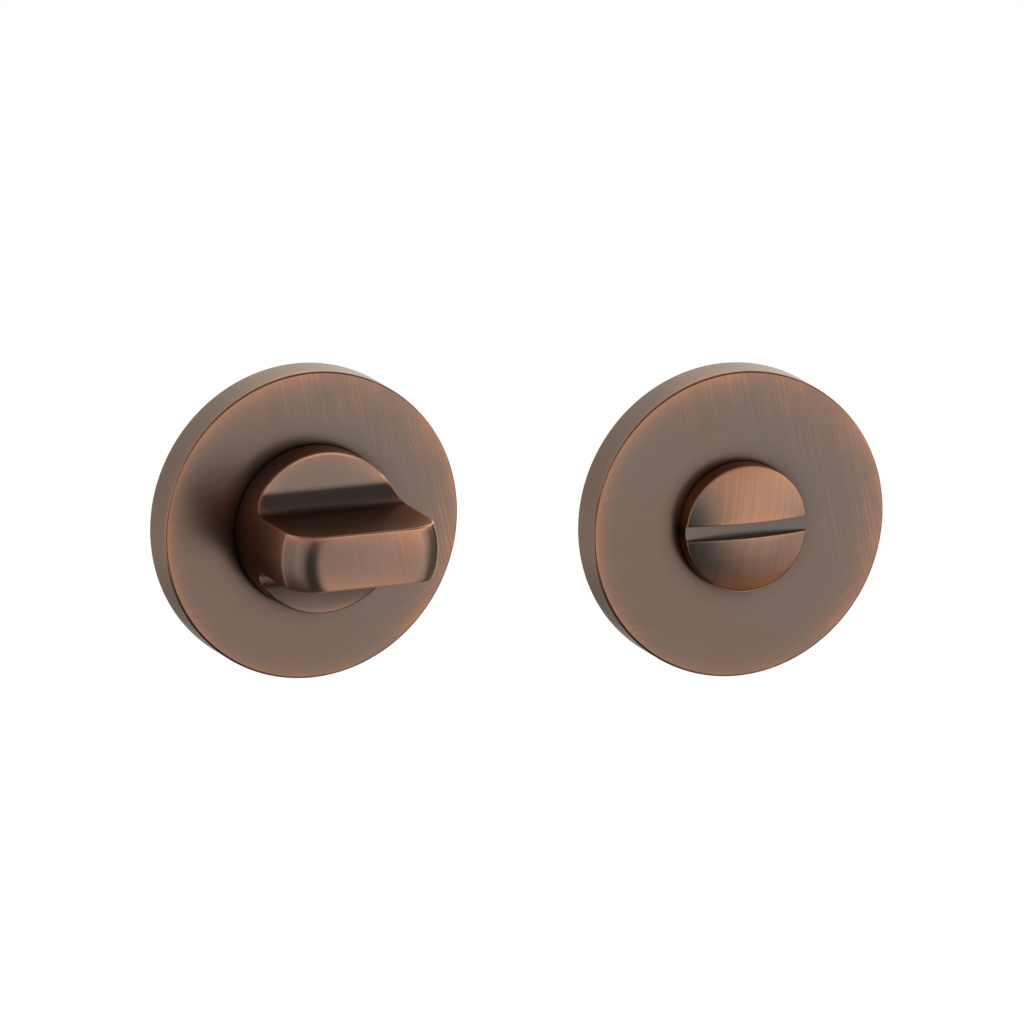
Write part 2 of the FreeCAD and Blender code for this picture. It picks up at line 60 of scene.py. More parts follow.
class Value:
    """One output of a node. Sums, differences, products and quotients add their Math nodes."""

    def __init__(self, finish, socket):
        self.finish = finish
        self.socket = socket

    def math(self, operation, *values, **settings):
        settings["operation"] = operation
        return self.finish.add("ShaderNodeMath", settings, dict(enumerate(values)))

    def __add__(self, other):
        return self.math("ADD", self, other)

    def __sub__(self, other):
        return self.math("SUBTRACT", self, other)

    def __rsub__(self, other):
        return self.math("SUBTRACT", other, self)

    def __mul__(self, other):
        return self.math("MULTIPLY", self, other)

    def __truediv__(self, other):
        return self.math("DIVIDE", self, other)

    def __rtruediv__(self, other):
        return self.math("DIVIDE", other, self)

    __radd__ = __add__
    __rmul__ = __mul__

    def kept(self):
        """Held between 0 and 1."""
        return self.math("ADD", self, 0.0, use_clamp=True)

    def falling(self):
        """1 where the value is 0, falling to a third each time that it grows by 1."""
        return self.math("EXPONENT", self * -1.0)

    def step(self, low, high):
        """0 below the one limit and 1 above the other, with a smooth rise between them."""
        limits = {"Value": self, "From Min": low, "From Max": high}
        return self.finish.add("ShaderNodeMapRange", {"interpolation_type": "SMOOTHSTEP"}, limits)


# How much finer each layer of noise is, as a whole number would show where they line up
LAYER_STEP = 2.3


class Finish:
    """A material, or the world, that is made node by node."""

    def __init__(self, name, tree=None):
        if tree is None:
            self.material = bpy.data.materials.new(name)
            self.material.use_nodes = True
            tree = self.material.node_tree
        self.tree = tree
        self.tree.nodes.clear()

    def add(self, kind, settings=None, sockets=None, output=0):
        """One output of a new node. Its settings come first, as they can change its sockets."""
        node = self.tree.nodes.new(kind)
        for name, setting in (settings or {}).items():
            setattr(node, name, setting)
        for name, value in (sockets or {}).items():
            if isinstance(value, Value):
                self.tree.links.new(value.socket, node.inputs[name])
            else:
                node.inputs[name].default_value = value
        return Value(self, node.outputs[output])

    def place(self, middle=(0.0, 0.0)):
        """Millimetres from the middle of a half's back."""
        sockets = {
            "Vector": self.add("ShaderNodeTexCoord", output="Object"),
            "Location": (-middle[0], 0.0, -middle[1]),
            "Scale": (1 / MM,) * 3,
        }
        return self.add("ShaderNodeMapping", {}, sockets)

    def noise(self, place, size, detail=2.0, turn=0.0, shift=0.0):
        """Noise whose grains measure size, three lengths, with the first turned up from +X."""
        moved = {
            "Vector": place,
            "Location": (shift, shift, shift),
            "Rotation": (0.0, -turn, 0.0),
            "Scale": size,
        }
        grains = self.add("ShaderNodeMapping", {"vector_type": "TEXTURE"}, moved)
        layers = {"Vector": grains, "Scale": 1.0, "Detail": detail, "Lacunarity": LAYER_STEP}
        return self.add("ShaderNodeTexNoise", {}, layers)

    def mix(self, share, one, other):
        def colour(value):
            return value if isinstance(value, Value) else (*value, 1.0)

        # A Mix node set to colours has its two colours at inputs 6 and 7, and its result at 2
        sockets = {0: share, 6: colour(one), 7: colour(other)}
        return self.add("ShaderNodeMix", {"data_type": "RGBA"}, sockets, output=2)

    def surface(self, colour, roughness, height, depth, **fixed):
        """The shader itself, with a bump whose full height is depth, in metres."""
        sockets = {"Base Color": colour, "Roughness": roughness}
        sockets.update({name.replace("_", " "): value for name, value in fixed.items()})
        bump = {"Height": height, "Distance": depth, "Strength": 1.0}
        sockets["Normal"] = self.add("ShaderNodeBump", {}, bump)
        self.add_output(self.add("ShaderNodeBsdfPrincipled", {}, sockets))
        return self.material

    def add_output(self, shader, kind="ShaderNodeOutputMaterial"):
        node = self.tree.nodes.new(kind)
        self.tree.links.new(shader.socket, node.inputs["Surface"])


PATINA = (0.200, 0.155, 0.131)
WARM_PATINA = (0.209, 0.138, 0.107)
DARK_PATINA_AND_REFLECTION = (0.100, 0.070, 0.057)
RUBBED_AND_HIGHLIT = (0.460, 0.222, 0.135)
COPPER = (0.700, 0.300, 0.150)
GRAZING_TINT = (0.82, 0.75, 0.69, 1.0)
STEEP_STROKE = (30.0, 8.0, 0.27)
FLAT_STROKE = (26.0, 8.0, 0.29)
SLANTING_STROKE = (20.0, 8.0, 0.27)
FLAT_ANGLE = 9.0
SLANTING_ANGLE = 33.0
STROKE_DEPTH = 0.003 * MM
CLOUD = (12.0, 12.0, 12.0)
PATCH = (8.0, 8.0, 8.0)
RUBBED_RIM = 1.2


def antique_copper(
    name, middle, recess_and_shade, edging, edging_width, brushing, steep_angle=102.0, steepness=0.0
):
    """Copper, blackened and then brushed, so that it is bright again along edges and strokes. The
    mesh says how far each point is from an edge, in millimetres, and how much it gets rubbed or
    lightened as painted light, or below 0 how much it takes of the recess colour: patina in the
    slot and the coves, painted shade at the foot of each head and under the bar."""
    finish = Finish(name)
    place = finish.place(middle)
    x, y, z = (
        finish.add("ShaderNodeSeparateXYZ", {}, {"Vector": place}, output=axis) for axis in "XYZ"
    )
    edge = finish.add("ShaderNodeAttribute", {"attribute_name": "edge_distance"}, output="Fac")
    touch = finish.add("ShaderNodeAttribute", {"attribute_name": "touch"}, output="Fac")

    # Strokes of the brush: steep at the upper right, slanting at the lower right, flat elsewhere
    steep = finish.noise(place, STEEP_STROKE, 4.0, math.radians(steep_angle), shift=55.0)
    flat = finish.noise(place, FLAT_STROKE, 4.0, math.radians(FLAT_ANGLE), shift=40.0)
    slanting = finish.noise(place, SLANTING_STROKE, 4.0, math.radians(SLANTING_ANGLE), shift=90.0)
    cloud = finish.noise(place, CLOUD, 1.0)
    upper = (z * 0.04 + x * 0.03 + cloud * 2.4 - 0.85 + steepness).kept()
    aside = (x * 0.06 - z * 0.05 - cloud * 2.0 + 0.5).kept()
    strokes = flat + (slanting - flat) * aside
    strokes = strokes + (steep - strokes) * upper
    strokes = 0.5 + (strokes - 0.5) * brushing

    # Rubbed, with painted light: the rim, widest at the upper right, scuffs along the strokes, and
    #     # what is touched. The upper right is the lit side, so the rim's extra width and the
    #     scuffs'
    #     # strength there are painted highlight, as are some touched places.
    patches = finish.noise(place, PATCH, 2.0, shift=7.0)
    lit_side = (x * 0.02 + z * 0.014 + 0.40).kept()
    reach = RUBBED_RIM * (0.9 + lit_side * lit_side * 2.0)
    upper_left = (z * 0.02 - x * 0.03 - 0.3).kept()
    bared = (patches * 1.3 + strokes * 1.6 - 0.9 + upper_left).kept()
    rim = (edge / reach).falling() * (0.15 + bared)
    scuffs = strokes.step(0.48, 0.68) * patches.step(0.35, 0.65) * (0.08 + lit_side * 0.34)
    rubbed_and_highlit = (rim * 0.85 + scuffs + touch * (0.8 + (strokes - 0.5) * 2.4)).kept()

    # The edge itself, a line that is strong at the upper right and faint at the upper left, as
    #     # painted light. On the knob and disc it is a worn copper edge with a painted highlight,
    #     and on
    #     # the rose a painted dark reflection.
    width = edging_width * (0.6 + (z * 0.05).kept())
    line = 1 - edge.step(width * 0.5, width * 1.6)
    line = line * (0.35 + lit_side).kept() * (1 - upper_left * 1.7).kept()

    # Warmer at the lower left, darker between the strokes, and bare where it is touched most
    warm = (0.40 - z * 0.018 - x * 0.016 + (patches - 0.5) * 1.5).kept()
    patina = finish.mix(warm, PATINA, WARM_PATINA)
    patina = finish.mix((0.55 - strokes).kept() * 0.55, patina, DARK_PATINA_AND_REFLECTION)
    # Below 0 the recess colour: patina in the slot and coves, painted shade at the heads' feet and
    # under the bar
    patina = finish.mix((touch * -1.0).kept(), patina, recess_and_shade)
    colour = finish.mix(rubbed_and_highlit, patina, RUBBED_AND_HIGHLIT)
    bare = touch - 1.15 + (strokes - 0.5) * 1.6 + (patches - 0.5) * 1.2
    colour = finish.mix(bare.kept(), colour, COPPER)
    colour = finish.mix(line, colour, edging)
    roughness = 0.25 + strokes * 0.08 - rubbed_and_highlit * 0.03
    return finish.surface(
        colour, roughness, strokes, STROKE_DEPTH, Metallic=1.0, Specular_Tint=GRAZING_TINT
    )


def turned_tree():
    """Turns a half section, drawn in the XY plane as (radius, y), round the Y axis. Each corner
    is rounded by the radius in its attribute "rounding"."""
    tree = bpy.data.node_groups.new("Turned piece", "GeometryNodeTree")
    sockets = tree.interface
    sockets.new_socket("Section", in_out="INPUT", socket_type="NodeSocketGeometry")
    sockets.new_socket("Steps round", in_out="INPUT", socket_type="NodeSocketInt")
    sockets.new_socket("Steps in a corner", in_out="INPUT", socket_type="NodeSocketInt")
    sockets.new_socket("Path radius", in_out="INPUT", socket_type="NodeSocketFloat")
    sockets.new_socket("Finish", in_out="INPUT", socket_type="NodeSocketMaterial")
    sockets.new_socket("Piece", in_out="OUTPUT", socket_type="NodeSocketGeometry")

    def node(kind, mode=None, **links):
        made = tree.nodes.new(kind)
        if mode:
            made.mode = mode
        for name, source in links.items():
            tree.links.new(source, made.inputs[name.replace("_", " ")])
        return made

    given = node("NodeGroupInput").outputs
    line = node("GeometryNodeMeshToCurve", Mesh=given["Section"])
    radius = node("GeometryNodeInputNamedAttribute")
    radius.data_type = "FLOAT"
    radius.inputs["Name"].default_value = "rounding"
    rounded = node(
        "GeometryNodeFilletCurve",
        "POLY",
        Curve=line.outputs[0],
        Radius=radius.outputs[0],
        Count=given["Steps in a corner"],
    )
    rounded.inputs["Limit Radius"].default_value = True
    path = node(
        "GeometryNodeCurvePrimitiveCircle",
        Resolution=given["Steps round"],
        Radius=given["Path radius"],
    )
    swept = node(
        "GeometryNodeCurveToMesh", Curve=path.outputs[0], Profile_Curve=rounded.outputs[0]
    )
    upright = node("GeometryNodeTransform", Geometry=swept.outputs[0])
    upright.inputs["Rotation"].default_value = (math.pi / 2, 0.0, 0.0)
    smooth = node("GeometryNodeSetShadeSmooth", Geometry=upright.outputs[0])
    whole = node("GeometryNodeRealizeInstances", Geometry=smooth.outputs[0])
    done = node("GeometryNodeSetMaterial", Geometry=whole.outputs[0], Material=given["Finish"])
    tree.links.new(done.outputs[0], node("NodeGroupOutput").inputs["Piece"])
    return tree


SHARP = math.radians(38)
SAME_POINT = 0.002 * MM
NO_LENGTH = 0.001 * MM


def finished(name, mesh, wear_and_shading):
    """The piece of this mesh, closed, with its faces outwards, flat faces flat and soft edges
    soft. The wear and shading function gives a point's distance to an edge, and how much it gets
    touched or lightened as painted light, or below 0 how dark it is, from patina where nothing
    reaches it and from painted shade."""
    shell = bmesh.new()
    shell.from_mesh(mesh)
    bmesh.ops.remove_doubles(shell, verts=shell.verts, dist=SAME_POINT)
    bmesh.ops.dissolve_degenerate(shell, edges=shell.edges, dist=NO_LENGTH)
    bmesh.ops.recalc_face_normals(shell, faces=shell.faces)
    shell.to_mesh(mesh)
    shell.free()
    mesh.shade_smooth()
    mesh.set_sharp_from_angle(angle=SHARP)
    distances = mesh.attributes.new("edge_distance", "FLOAT", "POINT")
    rubbing_and_shading_layer = mesh.attributes.new("touch", "FLOAT", "POINT")
    for vertex, distance, touch in zip(mesh.vertices, distances.data, rubbing_and_shading_layer.data):
        distance.value, touch.value = wear_and_shading(vertex.co)
    piece = bpy.data.objects.new(name, mesh)
    bpy.context.collection.objects.link(piece)
    shading = piece.modifiers.new("flat_faces_flat", "WEIGHTED_NORMAL")
    shading.keep_sharp = True
    return piece


def plain_mesh(maker, name):
    """What a piece's modifiers make, as a mesh of its own."""
    graph = bpy.context.evaluated_depsgraph_get()
    mesh = bpy.data.meshes.new_from_object(maker.evaluated_get(graph))
    mesh.name = name
    bpy.data.objects.remove(maker)
    return mesh


def set_inputs(modifier, **values):
    for item in modifier.node_group.interface.items_tree:
        key = item.name.replace(" ", "_")
        if item.in_out == "INPUT" and key in values:
            modifier[item.identifier] = values[key]


turned_piece = turned_tree()
PATH_RADIUS = 1.0
RING_GROOVE = (2.95, 4.05, 25.15)  # back level, front level, radius
# Painted shade round each head's foot on the rose: a dark colour that fades outwards, standing in
# for the head's shadow and its dark reflection in the face
PAINTED_FOOT_SHADE = (0.040, 0.027, 0.022)
FOOT_SHADE_STRENGTH = 0.75
FOOT_SHADE_FADE = 1.1
FOOT_SHADE_RINGS = (4.0, 1.8, 0.7)
SIDE_WEAR = 3.0
ROSE_EDGING = 0.15


def rose_cover(half, middle, head_radius):
    hole = head_radius + COVER_HOLE_GAP
    inside = ROSE_RADIUS - COVER_WALL
    back, front, out = RING_GROOVE
    # Rings of points round the hole, between which the painted shade round the head's foot fades
    foot = [(hole + ring, ROSE_DEPTH, 0.0) for ring in FOOT_SHADE_RINGS]
    section = [  # radius, level, rounding
        (inside, 0.0, 0.1),
        (ROSE_RADIUS, 0.0, 0.2),
        (ROSE_RADIUS, ROSE_DEPTH, 0.38),
        *foot,
        (hole, ROSE_DEPTH, 0.06),
        (hole, ROSE_DEPTH - COVER_WALL, 0.1),
        (inside, ROSE_DEPTH - COVER_WALL, 0.5),
        (inside, front, 0.05),
        (out, front, 0.05),
        (out, back, 0.05),
        (inside, back, 0.05),
    ]
    line = bpy.data.meshes.new("section")
    points = [((radius - PATH_RADIUS) * MM, -level * MM, 0.0) for radius, level, _ in section]
    count = len(section)
    line.from_pydata(points, [(n, (n + 1) % count) for n in range(count)], [])
    rounding = line.attributes.new("rounding", "FLOAT", "POINT")
    for corner, (_, _, radius) in zip(rounding.data, section):
        corner.value = radius * MM
    maker = bpy.data.objects.new("maker", line)
    bpy.context.collection.objects.link(maker)
    turning = maker.modifiers.new("turning", "NODES")
    turning.node_group = turned_piece
    # The rose's edge line is a painted dark reflection along its rounded front edge
    finish = antique_copper(
        f"{half}_rose_copper", middle, PAINTED_FOOT_SHADE, DARK_PATINA_AND_REFLECTION, ROSE_EDGING, brushing=0.75
    )
    set_inputs(
        turning,
        Steps_round=224,
        Steps_in_a_corner=5,
        Path_radius=PATH_RADIUS * MM,
        Finish=finish,
    )
    mesh = plain_mesh(maker, f"{half}_rose")
    mesh.transform(place_of(middle))

    def wear_and_shading(point):
        radius = math.hypot(point.x / MM - middle[0], point.z / MM - middle[1])
        level = -point.y / MM
        # Down the side, a millimetre counts as three, so the rubbed rim stays narrow there
        edge = math.hypot(ROSE_RADIUS - radius, (ROSE_DEPTH - level) * SIDE_WEAR)
        # Below 0 near the head: painted shade round its foot
        return edge, -FOOT_SHADE_STRENGTH * math.exp(-max(radius - head_radius, 0.0) / FOOT_SHADE_FADE)

    piece = finished(f"{half}_rose", mesh, wear_and_shading)
    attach(piece, "roses")
    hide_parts(f"{half}_rose_cover")


def place_of(middle):
    return Matrix.Translation(Vector((middle[0] * MM, 0.0, middle[1] * MM)))


rose_cover("turn", TURN_MIDDLE, KNOB_RADIUS)
rose_cover("release", RELEASE_MIDDLE, DISC_RADIUS)


# Thumb turn knob. It is turned from brass bar, 27.5 mm across with a 5 mm round at the front, then
# milled out above and below with a ball-nosed cutter, which leaves a bar to grip and a cove at
# its foot. Its neck runs in the base plate and holds the spindle, with a pin across the two.

KNOB_HEIGHT = 25.9
FRONT_ROUND = 5.2
BAR_HALF = 4.7
SHELF = 5.9
COVE = 4.4
DISH = math.radians(8)
KNOB_EDGE = 0.3
HEAD_BACK = 4.95
HEAD_BACK_EDGE = 0.25
NECK_RADIUS = 6.0
NECK_CORNER = 0.1
NECK_CHAMFER = 0.4
CLIP_GROOVE = (0.1, 1.2, 5.5)  # back level, front level, radius
TURN_TAIL = 5.5
TURN_SOCKET_HALF = 3.05
TURN_SOCKET_END = 10.0


class Skin:
    """A closed surface that is laid down in rows of points (right, up, level)."""

    def __init__(self):
        self.points = []
        self.faces = []

    def row(self, points):
        start = len(self.points)
        self.points += points
        return list(range(start, len(self.points)))

    def strip(self, one, other, closed=False):
        last = len(one) if closed else len(one) - 1
        for n in range(last):
            m = (n + 1) % len(one)
            self.faces.append((one[n], one[m], other[m], other[n]))

    def sheet(self, rows, closed=False):
        for one, other in zip(rows, rows[1:]):
            self.strip(one, other, closed)

    def mesh(self, name, middle):
        made = bpy.data.meshes.new(name)
        points = [
            ((middle[0] + right) * MM, -level * MM, (middle[1] + up) * MM)
            for right, up, level in self.points
        ]
        made.from_pydata(points, [], self.faces)
        return made


def neck(skin, ring, angles, radius, tail, socket_half, socket_end):
    """From a head's rim back to its underside, along the neck and into the square socket."""
    groove_back, groove_front, groove_radius = CLIP_GROOVE
    turns = [
        (radius, HEAD_BACK + HEAD_BACK_EDGE),
        (radius - HEAD_BACK_EDGE, HEAD_BACK),
        (NECK_RADIUS + NECK_CORNER, HEAD_BACK),
        (NECK_RADIUS, HEAD_BACK - NECK_CORNER),
        (NECK_RADIUS, groove_front),
        (groove_radius, groove_front),
        (groove_radius, groove_back),
        (NECK_RADIUS, groove_back),
        (NECK_RADIUS, NECK_CHAMFER - tail),
        (NECK_RADIUS - NECK_CHAMFER, -tail),
    ]
    rows = [ring]
    for out, level in turns:
        rows.append(skin.row([(out * math.cos(a), out * math.sin(a), level) for a in angles]))
    for level in (-tail, socket_end):
        square = []
        for a in angles:
            out = socket_half / max(abs(math.cos(a)), abs(math.sin(a)))
            square.append((out * math.cos(a), out * math.sin(a), level))
        rows.append(skin.row(square))
    rows.append(skin.row([(0.0, 0.0, socket_end)] * len(angles)))
    skin.sheet(rows, closed=True)


def spread(start, end, count):
    return [start + (end - start) * n / count for n in range(count + 1)]


SAME_DIRECTION = 1e-6


def between(one, other, share):
    """A direction on the arc from one direction to another."""
    angle = one.angle(other, 0.0)
    if angle < SAME_DIRECTION:
        return one
    first = math.sin((1 - share) * angle) / math.sin(angle)
    return one * first + other * (math.sin(share * angle) / math.sin(angle))


EDGE_STEPS = 6
ROUND_STEPS = 16
FLANK_STEPS = 6
COVE_STEPS = 16
DISH_STEPS = 18


def knob_profile():
    """The milled outline as rows of (up, height, the normal's up and height), from the bar's
    front edge down its flank, through the cove and out along the shelf to the rim."""
    edge = KNOB_EDGE
    rows = []
    for turn in spread(math.pi / 2, 0, EDGE_STEPS):
        up = BAR_HALF - edge + edge * math.cos(turn)
        height = KNOB_HEIGHT - edge + edge * math.sin(turn)
        rows.append((up, height, math.cos(turn), math.sin(turn)))
    inner_round = FRONT_ROUND - edge
    for turn in spread(math.pi / 2, 0, ROUND_STEPS)[1:]:
        height = KNOB_HEIGHT - FRONT_ROUND + inner_round * math.sin(turn)
        rows.append((BAR_HALF, height, 1.0, 0.0))
    for height in spread(KNOB_HEIGHT - FRONT_ROUND, SHELF + COVE, FLANK_STEPS)[1:]:
        rows.append((BAR_HALF, height, 1.0, 0.0))
    for turn in spread(0, math.pi / 2 - DISH, COVE_STEPS)[1:]:
        up = BAR_HALF + COVE - COVE * math.cos(turn)
        height = SHELF + COVE - COVE * math.sin(turn)
        rows.append((up, height, math.cos(turn), math.sin(turn)))
    # From here the shelf is dished, and level only at its rim
    ball_out = KNOB_RADIUS - edge
    dish_radius = (ball_out - up) / math.sin(DISH)
    dish_middle = height + dish_radius * math.cos(DISH)
    for turn in spread(math.asin(up / ball_out), math.pi / 2, DISH_STEPS)[1:]:
        up = ball_out * math.sin(turn)
        lean = math.asin((ball_out - up) / dish_radius)
        height = dish_middle - dish_radius * math.cos(lean)
        rows.append((up, height, math.sin(lean), math.cos(lean)))
    return rows


ACROSS = 16
ROUND_THE_EDGE = 5
ROUND_AN_END = 12


def knob_skin():
    """Rows across the milled faces, each with a rolled edge at both ends, then the two turned
    ends of the bar, then the turned foot. Each edge's radius is that of a ball rolled along it."""
    skin = Skin()
    edge = KNOB_EDGE
    ring_radius = KNOB_RADIUS - FRONT_ROUND
    ring_height = KNOB_HEIGHT - FRONT_ROUND
    crossing, tangents = [], []
    for up, height, normal_up, normal_height in knob_profile():
        ball_up = up - edge * normal_up
        ball_height = height - edge * normal_height
        above = max(ball_height - ring_height, 0.0)
        lean = math.asin(min(above / (FRONT_ROUND - edge), 1.0))
        ball_out = KNOB_RADIUS - edge
        if above:
            ball_out = ring_radius + (FRONT_ROUND - edge) * math.cos(lean)
        ball_right = math.sqrt(max(ball_out**2 - ball_up**2, 0.0))
        milled = Vector((0.0, normal_up, normal_height))
        around = Vector((ball_right, ball_up, 0.0)).normalized() * math.cos(lean)
        turned = Vector((around.x, around.y, math.sin(lean)))
        ball = Vector((ball_right, ball_up, ball_height))
        arc = [
            ball + between(turned, milled, n / ROUND_THE_EDGE) * edge
            for n in range(ROUND_THE_EDGE + 1)
        ]
        line = [
            Vector((right, up, height)) for right in spread(ball_right, -ball_right, ACROSS)[1:-1]
        ]
        mirrored = [Vector((-p.x, p.y, p.z)) for p in reversed(arc)]
        crossing.append(arc + line + mirrored)
        tangents.append(arc[0])
    flank_end = EDGE_STEPS + ROUND_STEPS + FLANK_STEPS + COVE_STEPS

    for side in (1, -1):
        rows = []
        for row in crossing:
            rows.append(skin.row([(p.x, p.y * side, p.z + ROSE_DEPTH) for p in row]))
        skin.sheet(rows)

    # The turned ends of the bar
    for side in (1, -1):
        rows = []
        for point in tangents[EDGE_STEPS : flank_end + 1]:
            out = math.hypot(point.x, point.y)
            widest = math.atan2(point.y, point.x)
            row = [
                (side * out * math.cos(a), out * math.sin(a), point.z + ROSE_DEPTH)
                for a in spread(-widest, widest, ROUND_AN_END)
            ]
            rows.append(skin.row(row))
        skin.sheet(rows)

    # The flat front
    first = tangents[0]
    widest = math.atan2(first.y, first.x)
    rows = []
    for a in spread(-widest, widest, ROUND_AN_END):
        right, up = ring_radius * math.cos(a), ring_radius * math.sin(a)
        row = [(r, up, KNOB_HEIGHT + ROSE_DEPTH) for r in spread(right, -right, ACROSS)]
        rows.append(skin.row(row))
    skin.sheet(rows)

    # The turned foot, from the shelf's rim back
    end = tangents[flank_end]
    quarter = [(a, end.z) for a in spread(0, math.atan2(end.y, end.x), ROUND_AN_END // 2)[:-1]]
    quarter += [(math.atan2(point.y, point.x), point.z) for point in tangents[flank_end:]]
    half_turn = quarter + [(math.pi - a, level) for a, level in reversed(quarter)][1:]
    rim = half_turn + [(a + math.pi, level) for a, level in half_turn[1:-1]]
    angles = [a for a, _ in rim]
    ring = skin.row(
        [
            (KNOB_RADIUS * math.cos(a), KNOB_RADIUS * math.sin(a), level + ROSE_DEPTH)
            for a, level in rim
        ]
    )
    neck(skin, ring, angles, KNOB_RADIUS, TURN_TAIL, TURN_SOCKET_HALF, TURN_SOCKET_END)
    return skin


FRONT_TOUCH = 0.29
SIDE_TOUCH = 1.15
SIDE_FOOT_SHADE = 1.5
SIDE_FOOT_SHADE_FADE = 0.8
LOWER_SHELF_SHADE = 0.75
LOWER_SHELF_SHADE_FADE = 5.0
COVE_DARKNESS = 0.55
COVE_FADE = 2.5
BAR_WEAR_AND_HIGHLIGHT = 0.5
BAR_FADE = 4.0
SHELF_DROP = 0.6


def knob_wear_and_shading(point):
    """The turned faces and the milled ones meet at an edge, where both distances are 0."""
    right, up = point.x / MM, abs(point.z / MM)
    height = -point.y / MM - ROSE_DEPTH
    out = math.hypot(right, up)
    if height > KNOB_HEIGHT - FRONT_ROUND and out > KNOB_RADIUS - FRONT_ROUND:
        ring = out - KNOB_RADIUS + FRONT_ROUND, height - KNOB_HEIGHT + FRONT_ROUND
        turned = math.hypot(*ring) - FRONT_ROUND
    else:
        turned = max(out - KNOB_RADIUS, height - KNOB_HEIGHT)
    cove_up, cove_height = up - BAR_HALF - COVE, height - SHELF - COVE
    if cove_height > 0:
        milled = up - BAR_HALF
    elif cove_up > 0:
        milled = height - SHELF - SHELF_DROP * max(1 - cove_up / COVE, 0.0)
    else:
        milled = COVE - math.hypot(cove_up, cove_height)
    distance = abs(min(turned, milled))

    # The bar's front is rubbed, and lighter towards its right end, most at the upper right, as
    #     # painted light
    if height > KNOB_HEIGHT - 0.2:
        return distance, FRONT_TOUCH + 0.022 * right + 0.008 * right * point.z / MM
    # The turned side is bare, with painted shade at its foot where it meets the rose
    if out > KNOB_RADIUS - 0.05:
        foot = SIDE_FOOT_SHADE * math.exp(-max(height, 0.0) / SIDE_FOOT_SHADE_FADE)
        return max(-milled, 0.0), SIDE_TOUCH - foot
    # Painted shade under the bar: the shelf below it is darker, less so towards its rim
    if height < SHELF + 0.8 and point.z < 0:
        inward = (KNOB_RADIUS - up) / LOWER_SHELF_SHADE_FADE
        return distance, -LOWER_SHELF_SHADE * min(max(inward, 0.0), 1.0)
    # The coves keep a dark patina, darkened further towards their foot as painted shade. The bar's
    #     # flanks in front of them are rubbed, and lightened further as a painted highlight
    if height > SHELF + 0.3 and milled > turned - 0.3:
        rise = height - SHELF - COVE_FADE
        if rise > 0:
            return distance, min(rise / BAR_FADE, BAR_WEAR_AND_HIGHLIGHT)
        return distance, max(rise / COVE_FADE, -COVE_DARKNESS)
    return distance, 0.0


knob_mesh = knob_skin().mesh("thumb_knob", TURN_MIDDLE)
# The knob's recess colour: patina in the coves, painted shade under the bar and at the side's foot
COVE_PATINA_AND_SHADE = (0.085, 0.050, 0.038)
EDGE_COPPER = (0.66, 0.34, 0.21)
KNOB_EDGING = 0.34
knob_copper = antique_copper(
    "knob_copper",
    TURN_MIDDLE,
    COVE_PATINA_AND_SHADE,
    EDGE_COPPER,
    KNOB_EDGING,
    brushing=0.35,
    steepness=0.7,
)
knob_mesh.materials.append(knob_copper)
knob = finished("thumb_knob", knob_mesh, knob_wear_and_shading)
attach(knob, "turn")
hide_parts("turn_thumb_knob")


# Release disc. It is turned from brass with a low dome, and a coin slot is milled across it. In an
# emergency a coin in the slot turns the lock from outside. It has the same finish as the knob.

EDGE_HEIGHT = 3.5
CROWN_HEIGHT = 5.0
DISC_EDGE = 0.3
SLOT_HALF = 1.2
SLOT_FLOOR = 3.0
SLOT_EDGE = 0.14
RELEASE_TAIL = 1.0
RELEASE_SOCKET_HALF = 3.1
RELEASE_SOCKET_END = 8.0
DOME_RINGS = 26
RIM_STEPS = 6
SLOT_EDGE_STEPS = 4
HALF_DOME_STEPS = 72


def dome_section():
    """(radius, height) from the middle of the dome out, round its rim and down to the slot's
    floor."""
    rise = CROWN_HEIGHT - EDGE_HEIGHT
    sphere = (DISC_RADIUS**2 + rise**2) / (2 * rise)
    centre = CROWN_HEIGHT - sphere
    ball_out = DISC_RADIUS - DISC_EDGE
    ball_height = centre + math.sqrt((sphere - DISC_EDGE) ** 2 - ball_out**2)
    lean = math.atan2(ball_height - centre, ball_out)
    dome_end = sphere * math.cos(lean)
    rows = []
    for out in spread(SLOT_HALF + SLOT_EDGE, dome_end, DOME_RINGS):
        rows.append((out, centre + math.sqrt(sphere**2 - out**2)))
    for turn in spread(lean, 0, RIM_STEPS)[1:]:
        out = ball_out + DISC_EDGE * math.cos(turn)
        rows.append((out, ball_height + DISC_EDGE * math.sin(turn)))
    return rows + [(DISC_RADIUS, SLOT_FLOOR)]


